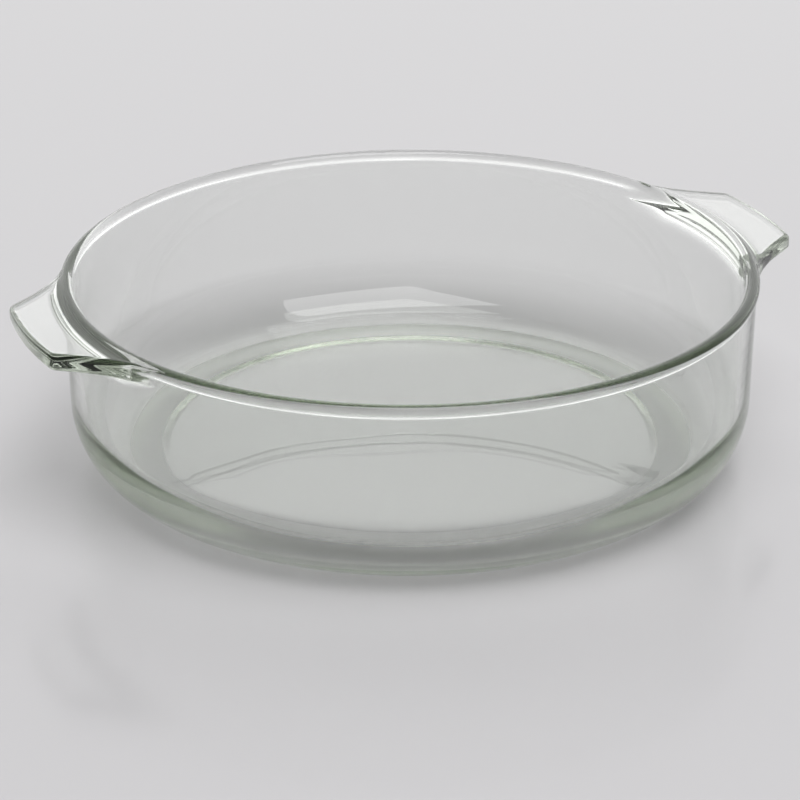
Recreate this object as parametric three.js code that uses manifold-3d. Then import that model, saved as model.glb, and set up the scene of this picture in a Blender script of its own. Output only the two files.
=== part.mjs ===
// A round casserole dish of clear pressed glass, with a flat tab handle on each side.
// Millimetres, +Z up. The origin is on the table under the middle of the dish, and the handles lie along X.
// The real dish is one pressing. Here it is cut on flat planes into the regions that a glassmaker names.
import * as THREE from "three";
import { mergeVertices } from "three/addons/utils/BufferGeometryUtils.js";
import Module from "manifold-3d";

// Bowl
const rimDiameter = 260; // over the outside of the bead
const dishHeight = 73; // table to the top of the bead
const rimThickness = 5; // the bead is a full round of this width
const beadProud = 1; // how far the bead stands out from the wall below it
const wallTaper = 1; // how much the outside draws in, in radius, from the bead to the heel
const wallThickness = 4.4; // at the foot of the wall
const baseThickness = 6; // table to the inside floor
const heelReach = 22; // the outside of the heel is a quarter ellipse, this far across
const heelHeight = 26; // and this high
const innerHeelReach = 24; // the inside of the heel, across
const innerHeelHeight = 24; // and high
const standingRingWidth = 10; // the flat ring that the dish stands on
const pushUp = 0.8; // how far the underside is raised inside that ring
const pushUpSlope = 6; // width of the slope from the ring to the raised part

// Handles
const handleReach = 19.5; // from the outside of the bead to the tip
const handleTipWidth = 50.5; // between the tip's corners, before they are rounded
const handleRootWidth = 86; // where the straight sides would meet the bead
const handleThickness = 6.5;
const handleDrop = 1.3; // from the top of the bead down to the flat top of the handle
const handleCornerRadius = 4; // at the tip, seen from above
const handleBlendRadius = 90; // where a side runs out into the wall, seen from above
const mostBlendShare = 0.98; // of the largest run-out that fits, so that a steep side stays straight for a bit
const handleEdgeRadius = 2.2; // along the top and bottom edges
const mostEdgeShare = 0.45; // of the thickness, so that a thin handle keeps a flat between its edges
const handleFillet = 6.5; // between the underside and the wall
const handleRootCover = 0.6; // glass between the hidden root and the inside of the rim
const handleRootDepth = 12; // how far inside the rim the root is drawn, before it is cut off there

// Where the pressing is cut into regions
const baseSeamRise = 2.5; // above the inside floor
const rimSeamDrop = 1.4; // below the handles' fillets
const handleSeamOffset = 2; // outside the bead, so that each handle's root stays with the rim

// Fineness of the round forms
const turnSegments = 96; // around the dish
const arcDivisions = 4; // two segments each, in one arc of an outline
const edgeSegments = 3; // across one rounded edge of a handle

const weldOverlap = 0.5; // how deep joined solids run into each other
const mergeDistance = 1e-4;

const rimRadius = rimDiameter / 2;
const beadRadius = rimThickness / 2;
const wallTopRadius = rimRadius - beadProud;
const wallFootRadius = wallTopRadius - wallTaper;
const innerFootRadius = wallFootRadius - wallThickness;
const standingRadius = wallFootRadius - heelReach;
const handleTipRadius = rimRadius + handleReach;
const handleRootRadius = rimRadius - rimThickness + handleRootCover;
const blendEndRadius = wallTopRadius - weldOverlap; // just inside the wall, so that a side ends in the glass
const handleTop = dishHeight - handleDrop;
const handleUnderside = handleTop - handleThickness;
const handleEdge = Math.min(handleEdgeRadius, mostEdgeShare * handleThickness);

const wasm = await Module();
wasm.setup();

function solidOf(geometry) {
  const bare = geometry.index ? geometry.toNonIndexed() : geometry.clone();
  bare.deleteAttribute("normal");
  bare.deleteAttribute("uv");
  const merged = mergeVertices(bare, mergeDistance);
  const triangles = [];
  for (let i = 0; i < merged.index.count; i += 3) {
    const [a, b, c] = [0, 1, 2].map((k) => merged.index.getX(i + k));
    // Triangles that have shrunk to a line, such as those on a lathe's axis, are left out.
    if (a !== b && b !== c && c !== a) triangles.push(a, b, c);
  }
  return new wasm.Manifold(
    new wasm.Mesh({
      numProp: 3,
      vertProperties: merged.attributes.position.array,
      triVerts: new Uint32Array(triangles),
    }),
  );
}

function geometryOf(solid) {
  const mesh = solid.getMesh();
  const geometry = new THREE.BufferGeometry();
  geometry.setAttribute("position", new THREE.BufferAttribute(mesh.vertProperties, 3));
  geometry.setIndex(new THREE.BufferAttribute(mesh.triVerts, 1));
  const faceted = geometry.toNonIndexed();
  faceted.computeVertexNormals();
  return faceted;
}

// Turns an outline, drawn with radius to the right and height upwards, about the dish's axis.
function turned(outline) {
  const lathe = new THREE.LatheGeometry(outline.getPoints(arcDivisions), turnSegments);
  return solidOf(lathe.rotateX(Math.PI / 2));
}

// The section of the bowl, from under the middle, out and up the outside, over the bead and back inside.
function bowlSection() {
  const beadCentre = rimRadius - beadRadius;
  const beadHeight = dishHeight - beadRadius;
  const beadStart = -Math.acos((wallTopRadius - beadCentre) / beadRadius);
  const innerHeelTop = baseThickness + innerHeelHeight;
  const innerHeelCentre = innerFootRadius - innerHeelReach;
  const section = new THREE.Path();
  section.moveTo(0, pushUp);
  section.lineTo(standingRadius - standingRingWidth - pushUpSlope, pushUp);
  section.lineTo(standingRadius - standingRingWidth, 0);
  section.lineTo(standingRadius, 0);
  section.absellipse(standingRadius, heelHeight, heelReach, heelHeight, -Math.PI / 2, 0, false);
  section.absarc(beadCentre, beadHeight, beadRadius, beadStart, Math.PI, false);
  section.lineTo(innerFootRadius, innerHeelTop);
  section.absellipse(innerHeelCentre, innerHeelTop, innerHeelReach, innerHeelHeight, 0, -Math.PI / 2, true);
  section.lineTo(0, baseThickness);
  return section;
}

// The centre of a circle that touches both the handle's side, at a signed offset from it, and a circle
// round the dish's axis. It lies at the given distance from that axis.
function touchingCentre(corner, inward, aside, offset, distance) {
  const start = corner.clone().addScaledVector(aside, offset);
  const nearest = -start.dot(inward);
  const travel = nearest - Math.sqrt(nearest ** 2 - start.lengthSq() + distance ** 2);
  return start.addScaledVector(inward, travel);
}

// The handle on the +X side, seen from above, drawn inside its true edge by the inset.
function handleOutline(inset) {
  const tipHalf = handleTipWidth / 2;
  const rootHalf = handleRootWidth / 2;
  const tipCorner = new THREE.Vector2(Math.sqrt(handleTipRadius ** 2 - tipHalf ** 2), tipHalf);
  const rootCorner = new THREE.Vector2(Math.sqrt(rimRadius ** 2 - rootHalf ** 2), rootHalf);
  const inward = rootCorner.clone().sub(tipCorner).normalize();
  const aside = new THREE.Vector2(inward.y, -inward.x);
  const cornerDistance = handleTipRadius - handleCornerRadius;
  const corner = touchingCentre(tipCorner, inward, aside, -handleCornerRadius, cornerDistance);
  const cornerEnd = corner.clone().addScaledVector(aside, handleCornerRadius);
  // The largest run-out starts right at the corner's end and leaves no straight side.
  const sideOffset = blendEndRadius - cornerEnd.dot(aside);
  const largestBlend = (cornerEnd.lengthSq() - blendEndRadius ** 2) / (2 * sideOffset);
  const sideBlend = Math.min(handleBlendRadius, mostBlendShare * largestBlend);
  const blend = touchingCentre(tipCorner, inward, aside, sideBlend, blendEndRadius + sideBlend);
  const sideAngle = aside.angle();
  const cornerAngle = corner.angle();
  const blendAngle = blend.angle();
  const cornerRadius = handleCornerRadius - inset;
  const blendRadius = sideBlend + inset;
  const outline = new THREE.Shape();
  outline.absarc(blend.x, -blend.y, blendRadius, Math.PI - blendAngle, Math.PI - sideAngle, true);
  outline.absarc(corner.x, -corner.y, cornerRadius, -sideAngle, -cornerAngle, false);
  outline.absarc(0, 0, handleTipRadius - inset, -cornerAngle, cornerAngle, false);
  outline.absarc(corner.x, corner.y, cornerRadius, cornerAngle, sideAngle, false);
  outline.absarc(blend.x, blend.y, blendRadius, sideAngle - Math.PI, blendAngle - Math.PI, true);
  outline.absarc(0, 0, rimRadius - handleRootDepth, blendAngle, -blendAngle, true);
  return outline;
}

// What is cut off a handle, so that its root ends inside the wall.
function rootCore() {
  const section = new THREE.Path();
  section.moveTo(0, handleUnderside - weldOverlap);
  section.lineTo(handleRootRadius, handleUnderside - weldOverlap);
  section.lineTo(handleRootRadius, handleTop + weldOverlap);
  section.lineTo(0, handleTop + weldOverlap);
  return turned(section);
}

// A handle: a flat tab with rounded edges, and the fillet that carries its underside into the wall.
function handleSolid(turn) {
  const tab = new THREE.ExtrudeGeometry(handleOutline(0), {
    depth: handleThickness - 2 * handleEdge,
    curveSegments: arcDivisions,
    bevelThickness: handleEdge,
    bevelSize: handleEdge,
    bevelOffset: -handleEdge,
    bevelSegments: edgeSegments,
  });
  tab.translate(0, 0, handleUnderside + handleEdge).rotateZ(turn);

  const filletFoot = handleUnderside - handleFillet;
  const filletTip = wallTopRadius + handleFillet;
  const filletSection = new THREE.Path();
  filletSection.moveTo(wallTopRadius - weldOverlap, filletFoot);
  filletSection.lineTo(wallTopRadius, filletFoot);
  filletSection.absarc(filletTip, filletFoot, handleFillet, Math.PI, Math.PI / 2, true);
  filletSection.lineTo(filletTip, handleUnderside + weldOverlap);
  filletSection.lineTo(wallTopRadius - weldOverlap, handleUnderside + weldOverlap);
  filletSection.closePath();

  const filletReach = new THREE.ExtrudeGeometry(handleOutline(handleEdge), {
    depth: handleFillet + 3 * weldOverlap,
    curveSegments: arcDivisions,
    bevelEnabled: false,
  });
  filletReach.translate(0, 0, filletFoot - weldOverlap).rotateZ(turn);
  const fillet = turned(filletSection).intersect(solidOf(filletReach));
  return solidOf(tab).subtract(rootCore()).add(fillet);
}

const pressing = turned(bowlSection()).add(handleSolid(0)).add(handleSolid(Math.PI));

// The part of the pressing between two heights and two distances along X, as a named mesh.
function region(name, bottom, top, left, right) {
  const depth = 2 * (handleTipRadius + weldOverlap);
  const block = new THREE.BoxGeometry(right - left, depth, top - bottom);
  block.translate((left + right) / 2, 0, (bottom + top) / 2);
  const glass = new THREE.MeshStandardMaterial({
    color: 0xdfe7e3,
    roughness: 0.04,
    metalness: 0,
    transparent: true,
    opacity: 0.35,
  });
  const mesh = new THREE.Mesh(geometryOf(pressing.intersect(solidOf(block))), glass);
  mesh.name = name;
  return mesh;
}

const under = -weldOverlap;
const over = dishHeight + weldOverlap;
const end = handleTipRadius + weldOverlap;
const baseSeam = baseThickness + baseSeamRise;
const rimSeam = handleUnderside - handleFillet - rimSeamDrop;
const handleSeam = rimRadius + handleSeamOffset;

const bowl = new THREE.Group();
bowl.add(region("base", under, baseSeam, -end, end));
bowl.add(region("heel", baseSeam, heelHeight, -end, end));
bowl.add(region("side_wall", heelHeight, rimSeam, -end, end));
bowl.add(region("rim", rimSeam, over, -handleSeam, handleSeam));

const handles = new THREE.Group();
handles.add(region("left_handle", rimSeam, over, -end, -handleSeam));
handles.add(region("right_handle", rimSeam, over, handleSeam, end));

const dish = new THREE.Group();
dish.add(bowl, handles);

export default dish;
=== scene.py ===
# %% [markdown]
# # A casserole dish of clear pressed glass
#
# The real dish is one gob of hot glass, pressed between a mould and a plunger, and then polished by
# flame. So its surface is one unbroken skin: there is no seam where a handle leaves the rim, or where the
# wall turns into the floor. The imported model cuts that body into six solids. They carry the weight and
# the collision, and this lesson draws the one continuous skin over them.

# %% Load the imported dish
import math

import bpy
import numpy as np
from mathutils import Euler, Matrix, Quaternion, Vector


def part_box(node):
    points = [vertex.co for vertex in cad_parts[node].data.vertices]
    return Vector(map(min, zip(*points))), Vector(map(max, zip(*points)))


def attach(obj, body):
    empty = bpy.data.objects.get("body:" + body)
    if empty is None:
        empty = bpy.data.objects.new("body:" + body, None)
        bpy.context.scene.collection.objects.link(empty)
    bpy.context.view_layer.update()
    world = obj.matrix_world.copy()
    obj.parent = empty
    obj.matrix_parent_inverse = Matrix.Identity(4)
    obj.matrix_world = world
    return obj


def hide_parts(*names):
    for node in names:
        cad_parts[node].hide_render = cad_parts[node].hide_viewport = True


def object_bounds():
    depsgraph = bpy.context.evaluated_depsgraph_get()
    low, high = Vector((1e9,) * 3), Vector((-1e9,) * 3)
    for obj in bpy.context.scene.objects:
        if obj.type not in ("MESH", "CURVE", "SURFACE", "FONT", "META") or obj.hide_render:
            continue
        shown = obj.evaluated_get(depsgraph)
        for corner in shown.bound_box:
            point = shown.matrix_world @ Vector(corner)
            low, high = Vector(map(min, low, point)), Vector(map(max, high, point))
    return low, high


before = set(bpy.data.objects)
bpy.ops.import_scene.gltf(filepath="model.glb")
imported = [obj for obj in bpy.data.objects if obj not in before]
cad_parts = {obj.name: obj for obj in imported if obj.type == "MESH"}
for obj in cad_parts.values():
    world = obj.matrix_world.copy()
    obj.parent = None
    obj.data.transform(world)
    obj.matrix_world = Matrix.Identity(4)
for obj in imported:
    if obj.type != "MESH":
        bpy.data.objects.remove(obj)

mm = 0.001
cad_low, cad_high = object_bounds()
print("solids:", sorted(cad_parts), "box in mm:", [round(side / mm, 1) for side in cad_high - cad_low])

# %% [markdown]
# ## Sizes
#
# What the solids show is read from them, so the skin cannot drift away from the model that the physics
# uses. The sizes that a box cannot show, such as the thickness of the glass, are given here by name.

# %% Read the outside sizes from the solids
dish_height = cad_high.z
tip_radius = cad_high.x
rim_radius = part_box("rim")[1].y
heel_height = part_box("heel")[1].z
wall_foot_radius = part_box("heel")[1].x
handle_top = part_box("right_handle")[1].z
print(f"rim {2 * rim_radius / mm:.1f} mm across, dish {dish_height / mm:.1f} mm high")

# %% Name the glass thicknesses and the curves of the bowl
rim_thickness = 5 * mm
bead_proud = 1 * mm
wall_thickness = 4.4 * mm
base_thickness = 6 * mm
heel_reach = 22 * mm
inner_heel_reach = 24 * mm
inner_heel_height = 24 * mm
standing_ring_width = 10 * mm
push_up = 0.8 * mm
push_up_slope = 6 * mm

bead_radius = rim_thickness / 2
bead_centre = rim_radius - bead_radius
bead_height = dish_height - bead_radius
wall_top_radius = rim_radius - bead_proud
inner_foot_radius = wall_foot_radius - wall_thickness
standing_radius = wall_foot_radius - heel_reach
inner_heel_top = base_thickness + inner_heel_height
print(f"the dish stands on a ring of radius {standing_radius / mm:.1f} mm")

# %% Name the sizes of a handle
handle_tip_width = 50.5 * mm
handle_root_width = 86 * mm
handle_thickness = 6.5 * mm
corner_radius = 4 * mm
run_out_radius = 90 * mm
edge_round = 2.2 * mm
under_fillet = 6.5 * mm
root_drop = 0.8 * mm
top_fillet = 2.5 * mm
rim_foot_drop = 1.5 * mm
run_out_overlap = 0.5 * mm

handle_underside = handle_top - handle_thickness
fillet_foot = handle_underside - under_fillet
rim_foot = fillet_foot - rim_foot_drop
print(f"a handle reaches {(tip_radius - rim_radius) / mm:.1f} mm out from the rim")

# %% [markdown]
# ## Angles round the dish
#
# A plain lathe would give the bowl, but not the handles. A lathe whose section changes with the angle
# gives both: every row of the skin is a ring round the dish, and only the rows near the rim bulge out at
# the handles. The rings need more points where a handle's corners are, so the angles are closer together
# there.

# %% Space the angles
handle_zone = math.radians(30)
steps_in_zone = 80
steps_between = 48

zone = np.linspace(0, handle_zone, steps_in_zone, endpoint=False)
between = np.linspace(handle_zone, math.pi / 2, steps_between, endpoint=False)
first_quarter = np.concatenate([zone, between])
second_quarter = math.pi - np.concatenate([first_quarter, [math.pi / 2]])[:0:-1]
half_turn = np.concatenate([first_quarter, second_quarter])
turn = np.concatenate([half_turn, half_turn + math.pi])

from_right_handle = np.abs((turn + math.pi) % (2 * math.pi) - math.pi)
away = np.minimum(from_right_handle, math.pi - from_right_handle)
print(len(turn), "points in each ring")

# %% [markdown]
# ## The handle seen from above
#
# A handle's edge is a tip arc round the dish's axis, two rounded corners, two straight flared sides, and
# a long arc that lets each side run out into the wall. For a lathe the question is always the same: how
# far out is the edge at this angle? Each stretch answers it with a ray from the axis. The inset asks the
# same of a line drawn inside the edge, and that is what makes the rounded edges true on the corners as
# well as on the sides.

# %% Find the stretches of the edge
tip_half = handle_tip_width / 2
root_half = handle_root_width / 2
tip_corner = np.array([math.sqrt(tip_radius**2 - tip_half**2), tip_half])
root_corner = np.array([math.sqrt(rim_radius**2 - root_half**2), root_half])
inward = (root_corner - tip_corner) / np.linalg.norm(root_corner - tip_corner)
aside = np.array([inward[1], -inward[0]])
run_out_end = wall_top_radius - run_out_overlap


def touching_centre(offset, distance):
    """Centre of a circle that touches the side at an offset, at a distance from the dish's axis."""
    start = tip_corner + aside * offset
    nearest = -start @ inward
    return start + inward * (nearest - math.sqrt(nearest**2 - start @ start + distance**2))


def angle_of(point):
    return math.atan2(point[1], point[0])


corner_centre = touching_centre(-corner_radius, tip_radius - corner_radius)
run_out_centre = touching_centre(run_out_radius, run_out_end + run_out_radius)
print(f"a handle's sides run out {math.degrees(angle_of(run_out_centre)):.1f} degrees from its middle")


# %% Measure how far out the edge is
def ray_to_circle(rays, centre, radius, side):
    """Distance along each ray to a circle, to its far side for +1 or its near side for -1."""
    along = centre @ rays
    return along + side * np.sqrt(np.maximum(radius**2 - centre @ centre + along**2, 0))


def handle_edge(inset):
    """Distance of the handle's edge from the axis, at every angle of a ring."""
    rays = np.stack([np.cos(away), np.sin(away)])
    corner_end = corner_centre + aside * (corner_radius - inset)
    side_end = run_out_centre - aside * (run_out_radius + inset)
    stretches = [
        (away < angle_of(corner_centre), np.full_like(away, tip_radius - inset)),
        (away < angle_of(corner_end), ray_to_circle(rays, corner_centre, corner_radius - inset, 1)),
        (away < angle_of(side_end), (tip_corner @ aside - inset) / (aside @ rays)),
        (away < angle_of(run_out_centre), ray_to_circle(rays, run_out_centre, run_out_radius + inset, -1)),
    ]
    return np.select([here for here, _ in stretches], [reach for _, reach in stretches], run_out_end - inset)


edge = handle_edge(0)
print(f"the edge lies {edge.min() / mm:.1f} to {edge.max() / mm:.1f} mm from the axis")

# %% [markdown]
# ## The section of the bowl
#
# The section is a list of rows, each with a radius and a height. Straight stretches and quarter ellipses
# are enough. The straight wall leans a little, so each ellipse stops just before its end, where its own
# slope is the wall's slope. Glass shows the smallest kink as a bright line, and a touching curve has
# none.


# %% Draw lines and arcs of the section
def line(start, end, steps):
    """Rows from just after a point to another one."""
    share = np.linspace(0, 1, steps + 1)[1:, None]
    return np.array(start) + share * (np.array(end) - np.array(start))


def arc(centre, reach, height, start, end, steps):
    """Rows on an ellipse, between two angles in degrees."""
    angles = np.radians(np.linspace(start, end, steps + 1))
    return np.stack([centre[0] + reach * np.cos(angles), centre[1] + height * np.sin(angles)], 1)


def ease(share):
    """A share from 0 to 1, with a soft start and a soft end."""
    return share**2 * (3 - 2 * share)


bead_foot = bead_height - math.sqrt(bead_radius**2 - (wall_top_radius - bead_centre) ** 2)
outer_slope = (wall_top_radius - wall_foot_radius) / (bead_foot - heel_height)
inner_slope = (rim_radius - rim_thickness - inner_foot_radius) / (bead_height - inner_heel_top)
outer_heel_end = -math.degrees(math.atan(outer_slope * heel_height / heel_reach))
inner_heel_end = -math.degrees(math.atan(inner_slope * inner_heel_height / inner_heel_reach))
inner_bead_end = 180 - math.degrees(math.atan(inner_slope))
print(f"the wall leans {math.degrees(math.atan(outer_slope)):.1f} degrees outside")

# %% Draw the underside and the outside of the heel
slope_steps = 8
middle_steps = 6
ring_steps = 4
heel_steps = 28

ring_inside = standing_radius - standing_ring_width
slope_share = np.linspace(0, 1, slope_steps + 1)
push_up_edge = np.stack(
    [ring_inside - push_up_slope * (1 - slope_share), push_up * (1 - ease(slope_share))], 1
)
underside = np.concatenate(
    [
        line((0, push_up), push_up_edge[0], middle_steps)[:-1],
        push_up_edge,
        line(push_up_edge[-1], (standing_radius, 0), ring_steps),
    ]
)
heel_centre = (standing_radius, heel_height)
outer_heel = arc(heel_centre, heel_reach, heel_height, -90, outer_heel_end, heel_steps)[1:]
print(len(underside) + len(outer_heel), "rows under the dish and round its heel")


# %% Find the plain outside of the wall and bead at any height
bead_blend = 0.5 * mm
wall_steps = 12


def further(first, second, soft):
    """The larger of two distances, with a soft change from one to the other."""
    overlap = np.maximum(soft - np.abs(first - second), 0) / soft
    return np.maximum(first, second) + overlap**2 * soft / 4


def wall_radius(height):
    return wall_top_radius + outer_slope * (height - bead_foot)


def plain_radius(height):
    """Radius of the bead, or of the wall where that stands out more, below the bead's middle."""
    bead = bead_centre + np.sqrt(np.maximum(bead_radius**2 - (height - bead_height) ** 2, 0))
    return np.where(height < bead_height, further(wall_radius(height), bead, bead_blend), bead)


def bead_top(radius):
    """Height of the bead's upper side, and nothing outside the bead."""
    rise = np.sqrt(np.maximum(bead_radius**2 - (radius - bead_centre) ** 2, 0))
    return np.where(radius < rim_radius, bead_height + rise, 0)


outer_wall = line(outer_heel[-1], (wall_radius(rim_foot), rim_foot), wall_steps)
print(f"the wall is {plain_radius(rim_foot) / mm:.1f} mm from the axis at the rim's foot")

# %% [markdown]
# ## The rim and the handles
#
# Each row of the rim is drawn twice: once on the plain bead, and once on a handle, with the row's partner
# at nearly the same height. Where the edge reaches past the wall the row follows the handle, or the bead
# if that stands out further, and where the edge sinks into the wall the row follows the bead alone. The
# rounds along the edges shrink on the way, so the handle leaves the wall softly, as a press leaves it. A
# cut or a weld would show a line there.

# %% Prepare the change from bead to handle
foot_steps = 2
edge_steps = 10
side_steps = 8
flat_steps = 10
run_out_depth = 1.5 * mm
flat_spread = 0.5 * mm

depth = edge - wall_top_radius
fillet_room = np.clip(depth / (under_fillet + edge_round), 0, 1)
handle_share = ease(np.clip(depth / run_out_depth, 0, 1))
round_depth = edge - handle_edge(edge_round)
lower_round = np.clip(depth / 2 / round_depth, 0, 1)
under_reach = np.clip(depth - lower_round * round_depth, 0, under_fillet)
rim_radii = []
rim_heights = []


def rim_row(handle_radius, handle_height, plain_height):
    """One ring of the rim, from where it lies on the handle and how high its partner on the bead is."""
    plain = plain_radius(plain_height)
    rim_radii.append(plain + handle_share * (handle_radius - plain))
    rim_heights.append(plain_height + handle_share * (handle_height - plain_height))


def lower_edge(inset):
    """The handle's lower edge drawn in by an inset, with less of it where the handle runs out."""
    return edge - lower_round * (edge - handle_edge(inset))


def upper_edge(inset, height, soft):
    """The handle's side or upper edge drawn in by an inset, but never behind the bead."""
    return further(handle_edge(inset), plain_radius(height), soft)


print(f"{int((handle_share > 0).sum())} of {len(turn)} angles belong to the handles")

# %% Draw the fillet and the flat underside
for height in np.linspace(rim_foot, fillet_foot, foot_steps + 1)[1:]:
    rim_row(wall_radius(height), height, height)

lower_face = handle_underside - root_drop * (1 - fillet_room)
quarter = np.linspace(0, math.pi / 2, edge_steps + 1)
for angle in quarter[1:]:
    height = fillet_foot + (lower_face - fillet_foot) * math.sin(angle)
    plain_height = fillet_foot + under_fillet * math.sin(angle)
    rim_row(wall_radius(fillet_foot) + under_reach * (1 - math.cos(angle)), height, plain_height)

flat_start = wall_radius(fillet_foot) + under_reach
flat_end = lower_edge(edge_round)
for along in np.linspace(0, 1, flat_steps + 1)[1:]:
    plain_height = handle_underside + along * flat_spread
    rim_row(flat_start + along * (flat_end - flat_start), lower_face, plain_height)
print(len(rim_radii), "rows up to the handle's lower edge")

# %% Draw the rounded edge
for angle in quarter[1:]:
    rise = 1 - math.cos(angle)
    height = lower_face + edge_round * rise
    plain_height = handle_underside + flat_spread + (edge_round - flat_spread) * rise
    rim_row(lower_edge(edge_round * (1 - math.sin(angle))), height, plain_height)

side_foot = lower_face + edge_round
side_head = handle_top - edge_round
for along in np.linspace(0, 1, side_steps + 1)[1:-1]:
    height = side_foot + along * (side_head - side_foot)
    plain_height = handle_underside + edge_round + along * (handle_thickness - 2 * edge_round)
    rim_row(upper_edge(0, height, bead_blend + along * (top_fillet - bead_blend)), height, plain_height)

for angle in quarter:
    height = handle_top - edge_round + edge_round * math.sin(angle)
    plain_height = handle_top - edge_round + (edge_round - flat_spread) * math.sin(angle)
    rim_row(upper_edge(edge_round * (1 - math.cos(angle)), height, top_fillet), height, plain_height)
print(len(rim_radii), "rows up to the handle's top")

# %% Draw the flat top, its fillet and the bead
touch_angle = math.radians(60)
bead_top_steps = 6
least_flat_share = 0.25

touch_sink = handle_top - bead_height
fillet_corner = bead_centre + (bead_radius - touch_sink * math.sin(touch_angle)) / math.cos(touch_angle)
touch_radius = bead_centre + bead_radius * math.cos(touch_angle)
touch_height = bead_height + bead_radius * math.sin(touch_angle)
top_end = upper_edge(edge_round, handle_top, top_fillet)
least_flat = least_flat_share * (top_end - touch_radius)
fillet_start = np.minimum(fillet_corner + fillet_room * top_fillet, top_end - least_flat)
fillet_knee = np.minimum(fillet_corner, fillet_start)

for along in np.linspace(0, 1, flat_steps + 1)[1:]:
    plain_height = handle_top - flat_spread * (1 - along)
    radius = top_end + along * (fillet_start - top_end)
    rim_row(radius, np.maximum(handle_top, bead_top(radius)), plain_height)

meet_angle = math.asin(touch_sink / bead_radius)
for along in np.linspace(0, 1, edge_steps + 1)[1:]:
    back = 1 - along
    radius = back**2 * fillet_start + 2 * back * along * fillet_knee + along**2 * touch_radius
    height = back**2 * handle_top + 2 * back * along * handle_top + along**2 * touch_height
    height = np.maximum(height, bead_top(radius))
    plain_height = bead_height + bead_radius * math.sin(meet_angle + along * (touch_angle - meet_angle))
    rim_row(radius, height, plain_height)

for angle in np.linspace(touch_angle, math.pi / 2, bead_top_steps + 1)[1:]:
    height = bead_height + bead_radius * math.sin(angle)
    rim_row(bead_centre + bead_radius * math.cos(angle), height, height)
print(len(rim_radii), "rows in the rim")

# %% Draw the inside
inner_bead_steps = 12
inner_wall_steps = 14
inner_heel_steps = 26
floor_steps = 9

inner_bead = arc(
    (bead_centre, bead_height), bead_radius, bead_radius, 90, inner_bead_end, inner_bead_steps
)[1:]
inner_heel = arc(
    (inner_foot_radius - inner_heel_reach, inner_heel_top),
    inner_heel_reach,
    inner_heel_height,
    inner_heel_end,
    -90,
    inner_heel_steps,
)
inner_wall = line(inner_bead[-1], inner_heel[0], inner_wall_steps)[:-1]
floor_rows = line(inner_heel[-1], (0, base_thickness), floor_steps)[:-1]
inside = np.concatenate([inner_bead, inner_wall, inner_heel, floor_rows])
print(len(inside), "rows inside the dish")

# %% [markdown]
# ## One skin
#
# The rows are joined into quads, and the two ends close with a fan of triangles at the axis. Pressed
# glass is never quite true: the plunger and the flame leave it wavy by a few hundredths of a millimetre,
# and that is what makes the reflections in a real dish wander. So each point moves along its normal by a
# slow wave. The wave dies away at the standing ring, which stays flat.

# %% Join the rows into a mesh
outside = np.concatenate([underside, outer_heel, outer_wall])


def rings(rows):
    """Rows that are the same at every angle, as radii and heights."""
    return [np.repeat(rows[:, column, None], len(turn), axis=1) for column in (0, 1)]


outside_radii, outside_heights = rings(outside)
inside_radii, inside_heights = rings(inside)
radii = np.concatenate([outside_radii, rim_radii, inside_radii])
heights = np.concatenate([outside_heights, rim_heights, inside_heights])
points = np.stack([radii * np.cos(turn), radii * np.sin(turn), heights], -1).reshape(-1, 3)
points = np.concatenate([points, [[0, 0, push_up], [0, 0, base_thickness]]])

rows, around = radii.shape
here = np.arange(around)
following = (here + 1) % around
faces = []
for row in range(rows - 1):
    low, high = row * around, (row + 1) * around
    faces += np.stack([low + here, low + following, high + following, high + here], 1).tolist()
under_pole, floor_pole = rows * around, rows * around + 1
last = (rows - 1) * around
faces += [[under_pole, int(b), int(a)] for a, b in zip(here, following)]
faces += [[floor_pole, int(last + a), int(last + b)] for a, b in zip(here, following)]

skin = bpy.data.meshes.new("casserole_dish")
skin.from_pydata(points.tolist(), [], faces)
skin.shade_smooth()
print(len(skin.vertices), "points and", len(skin.polygons), "faces in one skin")

# %% Let the glass wander
wave_height = 0.04 * mm
wave_fade = 4 * mm
waves = [
    (0.071, (0.8, 0.3, 0.5), 0.4),
    (0.053, (-0.4, 0.9, 0.2), 1.9),
    (0.044, (0.5, -0.6, 0.7), 3.1),
    (0.036, (0.7, 0.7, -0.3), 5.2),
]

places = np.empty(len(skin.vertices) * 3)
skin.vertices.foreach_get("co", places)
places = places.reshape(-1, 3)
normals = np.array([vertex.normal[:] for vertex in skin.vertices])
wander = np.zeros(len(places))
for length, heading, phase in waves:
    direction = np.array(heading) / np.linalg.norm(heading)
    wander += np.sin(2 * math.pi * (places @ direction) / length + phase) / len(waves)
fade = np.clip(places[:, 2] / wave_fade, 0, 1)
places += normals * (wander * fade * wave_height)[:, None]
skin.vertices.foreach_set("co", places.ravel())
skin.update()

dish = bpy.data.objects.new("casserole_dish", skin)
bpy.context.scene.collection.objects.link(dish)
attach(dish, "root")
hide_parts("base", "heel", "side_wall", "rim", "left_handle", "right_handle")
print(f"the skin wanders by at most {np.abs(wander).max() * wave_height / mm:.3f} mm")

# %% [markdown]
# ## Clear glass
#
# Clear kitchen glass looks colourless across a wall, and grey-green along its edge, where light travels
# far inside it. So the surface is almost white, and the colour is in the volume, which takes a little
# light out of every millimetre. The polish is not perfect: handling leaves a faint haze in patches, and
# the ring that the dish stands on is rubbed dull.

# %% Make the glass
surface_colour = (0.985, 0.99, 0.987, 1)
refractive_index = 1.5
volume_colour = (0.704, 0.751, 0.665, 1)
volume_density = 25

glass = bpy.data.materials.new("clear_glass")
glass.use_nodes = True
nodes = glass.node_tree.nodes
links = glass.node_tree.links
shader = nodes["Principled BSDF"]
shader.inputs["Base Color"].default_value = surface_colour
shader.inputs["Transmission Weight"].default_value = 1
shader.inputs["IOR"].default_value = refractive_index

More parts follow.
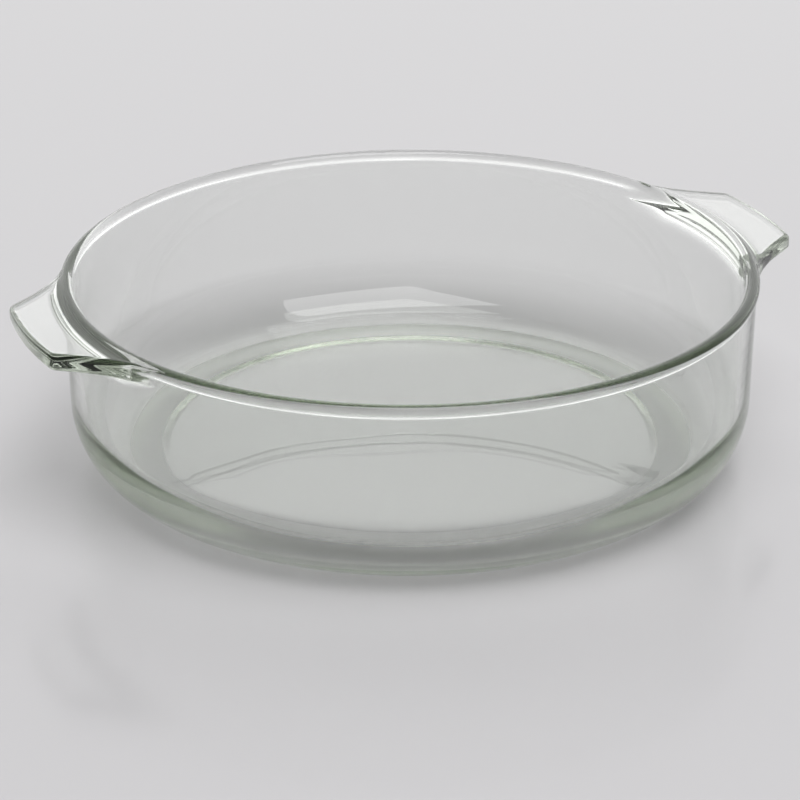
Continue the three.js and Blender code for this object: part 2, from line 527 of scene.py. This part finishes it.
depth_colour = nodes.new("ShaderNodeVolumeAbsorption")
depth_colour.inputs["Color"].default_value = volume_colour
depth_colour.inputs["Density"].default_value = volume_density
links.new(depth_colour.outputs["Volume"], nodes["Material Output"].inputs["Volume"])
dish.data.materials.append(glass)
print("glass with", len(nodes), "nodes so far")

# %% Add the haze and the rubbed ring
haze_scale = 28
haze_detail = 5
haze_start = 0.45
haze_end = 0.75
haze_dullness = 0.03
rub_dullness = 0.35
rub_start = 0.05 * mm
rub_end = 0.3 * mm

place = nodes.new("ShaderNodeTexCoord")
haze = nodes.new("ShaderNodeTexNoise")
haze.inputs["Scale"].default_value = haze_scale
haze.inputs["Detail"].default_value = haze_detail
links.new(place.outputs["Object"], haze.inputs["Vector"])

polish = nodes.new("ShaderNodeMapRange")
polish.inputs["From Min"].default_value = haze_start
polish.inputs["From Max"].default_value = haze_end
polish.inputs["To Min"].default_value = 0.0
polish.inputs["To Max"].default_value = haze_dullness
links.new(haze.outputs["Fac"], polish.inputs["Value"])

height_of = nodes.new("ShaderNodeSeparateXYZ")
links.new(place.outputs["Object"], height_of.inputs["Vector"])
rubbed = nodes.new("ShaderNodeMapRange")
rubbed.inputs["From Min"].default_value = rub_start
rubbed.inputs["From Max"].default_value = rub_end
rubbed.inputs["To Min"].default_value = rub_dullness
rubbed.inputs["To Max"].default_value = 0.0
links.new(height_of.outputs["Z"], rubbed.inputs["Value"])

dullness = nodes.new("ShaderNodeMath")
dullness.operation = "MAXIMUM"
links.new(polish.outputs["Result"], dullness.inputs[0])
links.new(rubbed.outputs["Result"], dullness.inputs[1])
links.new(dullness.outputs["Value"], shader.inputs["Roughness"])
print("glass finished with", len(nodes), "nodes")

# %% [markdown]
# ## Camera
#
# The photograph looks down on the dish from a little left of square, with a long lens, so that the rim is
# a calm ellipse. These angles came from fitting that ellipse, the outline of the bowl and the edges of
# the handles. The camera was also tipped by a third of a degree, so the rim is a little lower on the
# left.

# %% Place the camera
view_distance = 1.1692
view_azimuth = math.radians(-22.86)
view_elevation = math.radians(21.77)
aim_left = math.radians(0.203)
aim_down = math.radians(2.353)
view_roll = math.radians(-0.311)
focal_pixels = 3134.0
image_pixels = 800
film_width = 36

lens = bpy.data.cameras.new("camera")
lens.sensor_width = film_width
lens.lens = focal_pixels / image_pixels * film_width
camera = bpy.data.objects.new("camera", lens)
camera.location = (
    view_distance * math.sin(view_azimuth) * math.cos(view_elevation),
    -view_distance * math.cos(view_azimuth) * math.cos(view_elevation),
    bead_height + view_distance * math.sin(view_elevation),
)
level = Euler((math.pi / 2 - view_elevation - aim_down, 0, view_azimuth + aim_left)).to_quaternion()
camera.rotation_mode = "QUATERNION"
camera.rotation_quaternion = level @ Quaternion((0, 0, 1), view_roll)
bpy.context.scene.collection.objects.link(camera)
bpy.context.scene.camera = camera
print(f"a {lens.lens:.0f} mm lens, {view_distance:.2f} m away")

# %% [markdown]
# ## Floor and light
#
# Clear glass is drawn by what stands round it. A bright wall behind the dish shows through it, and the
# dim rest of the room makes the dark lines at its edges. So the room is bright low down behind the dish,
# dim in front and dark overhead. One large soft box hangs high on the camera's side. Right above the dish
# it would wash out the dark line along the back of the rim. The floor is pale and polished, so it mirrors
# the dish faintly.

# %% Lay the floor
floor_half = 4.0
floor_gap = 0.1 * mm
floor_colour = (0.64, 0.63, 0.645, 1)
floor_roughness = 0.15

corners = [(-1, -1), (1, -1), (1, 1), (-1, 1)]
paper = bpy.data.meshes.new("floor")
floor_points = [(x * floor_half, y * floor_half, -floor_gap) for x, y in corners]
paper.from_pydata(floor_points, [], [[0, 1, 2, 3]])
floor = bpy.data.objects.new("floor", paper)
bpy.context.scene.collection.objects.link(floor)

paper_finish = bpy.data.materials.new("pale_floor")
paper_finish.use_nodes = True
paper_shader = paper_finish.node_tree.nodes["Principled BSDF"]
paper_shader.inputs["Base Color"].default_value = floor_colour
paper_shader.inputs["Roughness"].default_value = floor_roughness
paper.materials.append(paper_finish)
print("floor", 2 * floor_half, "m wide")

# %% Light the room
room_front = (0.3, 0.3, 0.3)
room_back = (1.35, 1.35, 1.35)
room_zenith = (0.05, 0.05, 0.05)
back_wall_start = 0.3
back_wall_end = 0.75
zenith_start = 0.7
zenith_end = 0.95
away_from_camera = Vector((-math.sin(view_azimuth), math.cos(view_azimuth), 0))
up = Vector((0, 0, 1))

# A mix node lists its colour sockets after those for numbers and vectors.
first_colour = 6
second_colour = 7
mixed_colour = 2

world = bpy.data.worlds.new("studio")
bpy.context.scene.world = world
world.use_nodes = True
room_nodes = world.node_tree.nodes
room_links = world.node_tree.links
direction_in = room_nodes.new("ShaderNodeTexCoord")


def toward(heading, low, high):
    """How far the room's direction leans to a heading, from 0 at one leaning to 1 at another."""
    lean = room_nodes.new("ShaderNodeVectorMath")
    lean.operation = "DOT_PRODUCT"
    lean.inputs[1].default_value = heading
    room_links.new(direction_in.outputs["Generated"], lean.inputs[0])
    step = room_nodes.new("ShaderNodeMapRange")
    step.interpolation_type = "SMOOTHSTEP"
    step.inputs["From Min"].default_value = low
    step.inputs["From Max"].default_value = high
    room_links.new(lean.outputs["Value"], step.inputs["Value"])
    return step.outputs["Result"]


def blend(factor, start, end):
    """A colour between two others. Each is a plain colour or another blend's output."""
    mix = room_nodes.new("ShaderNodeMix")
    mix.data_type = "RGBA"
    room_links.new(factor, mix.inputs["Factor"])
    for socket, colour in ((mix.inputs[first_colour], start), (mix.inputs[second_colour], end)):
        if isinstance(colour, tuple):
            socket.default_value = (*colour, 1)
        else:
            room_links.new(colour, socket)
    return mix.outputs[mixed_colour]


walls = blend(toward(away_from_camera, back_wall_start, back_wall_end), room_front, room_back)
whole_room = blend(toward(up, zenith_start, zenith_end), walls, room_zenith)
room_links.new(whole_room, room_nodes["Background"].inputs["Color"])
print("a room with", len(room_nodes), "nodes, bright behind the dish")

# %% Hang the soft box
box_place = Vector((0.1, -0.8, 2.8))
box_side = 2.2
box_watts = 52

middle = (cad_low + cad_high) / 2
lamp = bpy.data.lights.new("soft_box", "AREA")
lamp.shape = "SQUARE"
lamp.size = box_side
lamp.energy = box_watts
soft_box = bpy.data.objects.new("soft_box", lamp)
soft_box.location = box_place
soft_box.rotation_mode = "QUATERNION"
soft_box.rotation_quaternion = (box_place - middle).to_track_quat("Z", "Y")
bpy.context.scene.collection.objects.link(soft_box)
print(f"one soft box, {box_side} m wide and {box_place.z:.1f} m up")

# %% [markdown]
# ## Light inside the rim
#
# Light that enters the rim is mirrored inside it many times before it leaves, and takes on the colour of
# all that glass. Light that is given up on the way counts as none at all, and the rim would come out
# too dark. So it is followed through far more surfaces than usual.

# %% Set how light is followed and shown
most_bounces = 96

tracing = bpy.context.scene.cycles
tracing.max_bounces = most_bounces
tracing.transmission_bounces = most_bounces
tracing.glossy_bounces = most_bounces
bpy.context.scene.view_settings.view_transform = "Standard"
print("light is followed through", most_bounces, "glass surfaces")
